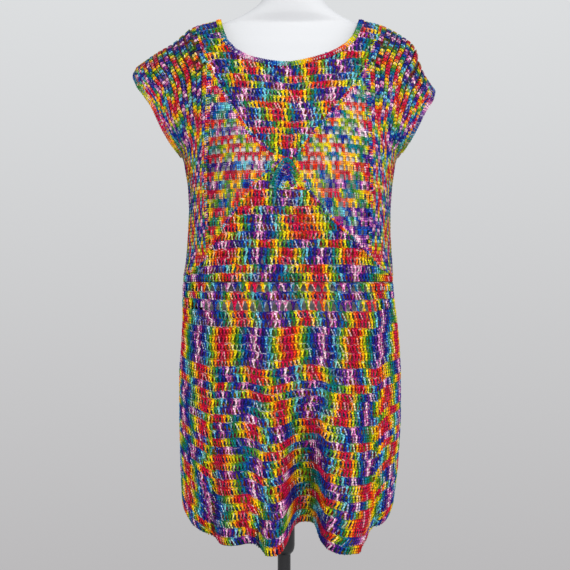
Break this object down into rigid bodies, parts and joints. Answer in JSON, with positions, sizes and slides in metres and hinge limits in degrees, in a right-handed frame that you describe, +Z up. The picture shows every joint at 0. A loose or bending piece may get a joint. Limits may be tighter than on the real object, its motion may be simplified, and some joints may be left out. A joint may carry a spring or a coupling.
{
  "type": "crochet dress on a limbless dress form and stand",
  "caption": "Knee-length crochet dress with cap sleeves, filet-net cups and a folded skirt, worn by a white limbless dress form on a black pole stand with a round base",
  "frame": {"origin": "on the floor at the centre of the stand's round base, under the pole", "axes": "+Z up along the pole, the front of the dress faces -Y, +X towards the right of the picture"},
  "size_m": [0.5107, 0.35, 1.437],
  "materials": {
    "crochet_yarn": "soft variegated yarn, open stitches",
    "edge_yarn": "soft variegated yarn, tight edge row",
    "form_cover": "smooth white, matte",
    "stand_black": "black, satin"
  },
  "bodies": {
    "root": {"yoke_front": "crochet_yarn", "midriff_front": "crochet_yarn", "net_cup_left": "crochet_yarn", "net_cup_right": "crochet_yarn", "side_panel_left": "crochet_yarn", "side_panel_right": "crochet_yarn", "bodice_back": "crochet_yarn", "eyelet_band_front": "crochet_yarn", "eyelet_band_back": "crochet_yarn", "skirt_front": "crochet_yarn", "skirt_back": "crochet_yarn", "neck_edge": "edge_yarn", "cuff_edge_left": "edge_yarn", "cuff_edge_right": "edge_yarn", "form_torso": "form_cover", "stand_pole_upper": "stand_black", "stand_collar": "stand_black", "stand_pole_lower": "stand_black", "stand_base": "stand_black"}
  },
  "joints": []
}
